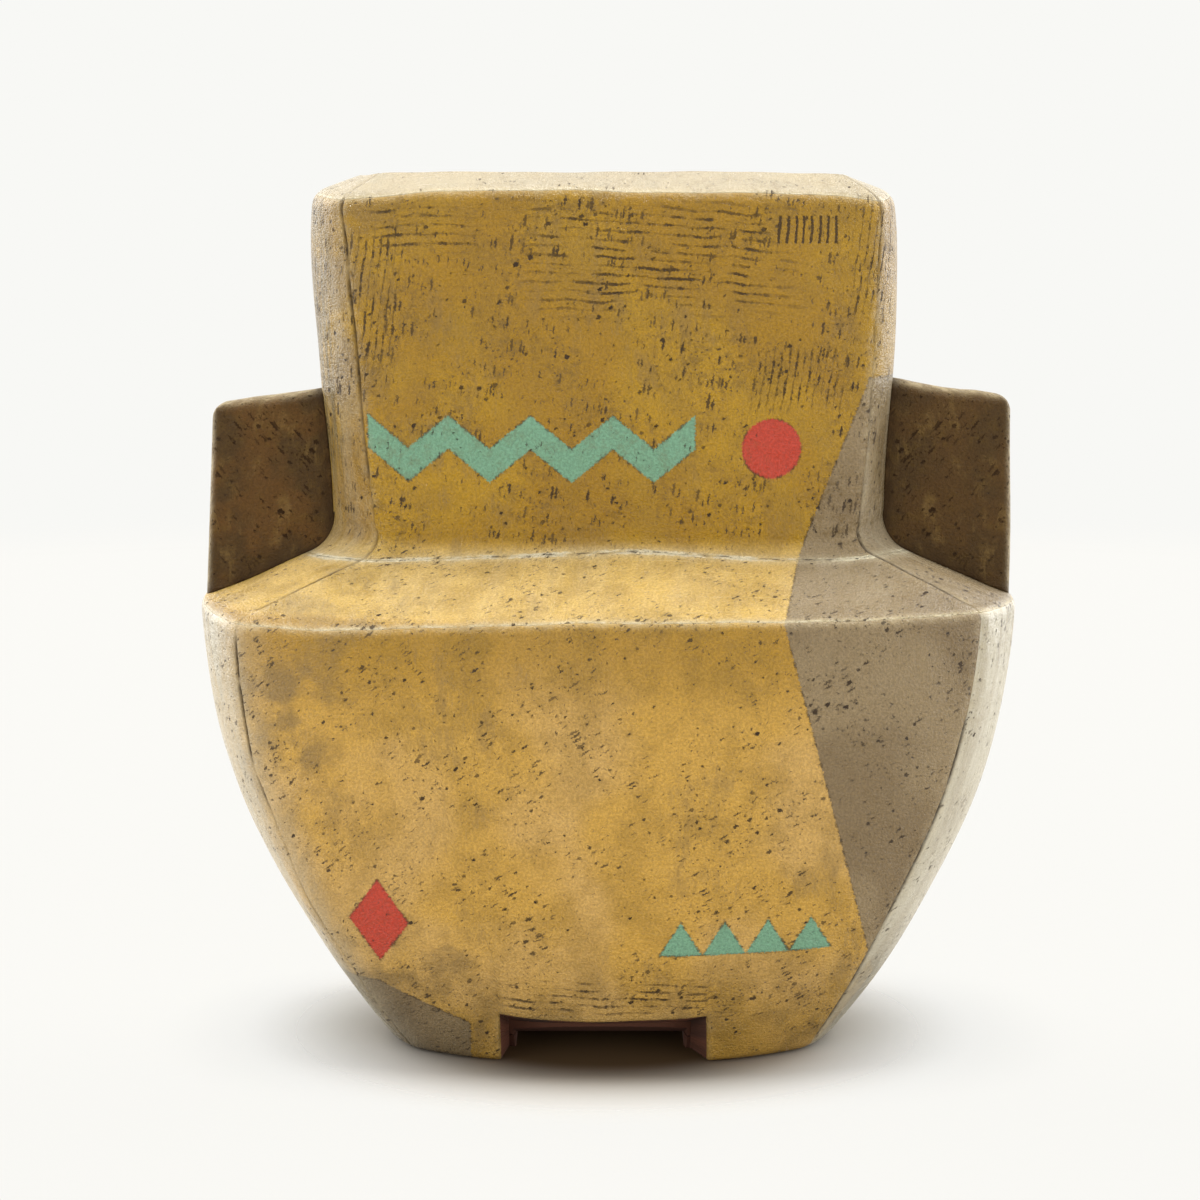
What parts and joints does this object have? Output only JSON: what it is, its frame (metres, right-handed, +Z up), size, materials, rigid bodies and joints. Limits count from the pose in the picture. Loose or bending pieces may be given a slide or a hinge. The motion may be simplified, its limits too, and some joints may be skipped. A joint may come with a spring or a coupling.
{
  "type": "vase",
  "caption": "Slab-built ceramic vase with a bowed body, sloping shoulder, oblong neck with an inward lip, side fins and a notched foot.",
  "frame": {"origin": "on the ground plane, at the middle of the foot", "axes": "+Z up through the mouth, +X towards the right-hand fin, -Y is the front with the decorated wall"},
  "size_m": [0.232, 0.12, 0.2464],
  "materials": {
    "ochre_glaze": "mottled ochre glaze with dark pits and scratches, satin to glossy",
    "taupe_glaze": "taupe-brown slip with dark pits, satin",
    "bare_clay": "unglazed reddish-brown clay, matt"
  },
  "bodies": {
    "root": {"base_floor": "bare_clay", "foot_left": "bare_clay", "foot_right": "bare_clay", "body_front": "ochre_glaze", "body_right": "ochre_glaze", "body_back": "ochre_glaze", "body_left": "ochre_glaze", "shoulder_front": "ochre_glaze", "shoulder_right": "ochre_glaze", "shoulder_back": "ochre_glaze", "shoulder_left": "ochre_glaze", "neck_front": "ochre_glaze", "neck_right": "ochre_glaze", "neck_back": "ochre_glaze", "neck_left": "ochre_glaze", "lip_front": "ochre_glaze", "lip_right": "ochre_glaze", "lip_back": "ochre_glaze", "lip_left": "ochre_glaze", "fin_left": "taupe_glaze", "fin_right": "taupe_glaze"}
  },
  "joints": []
}
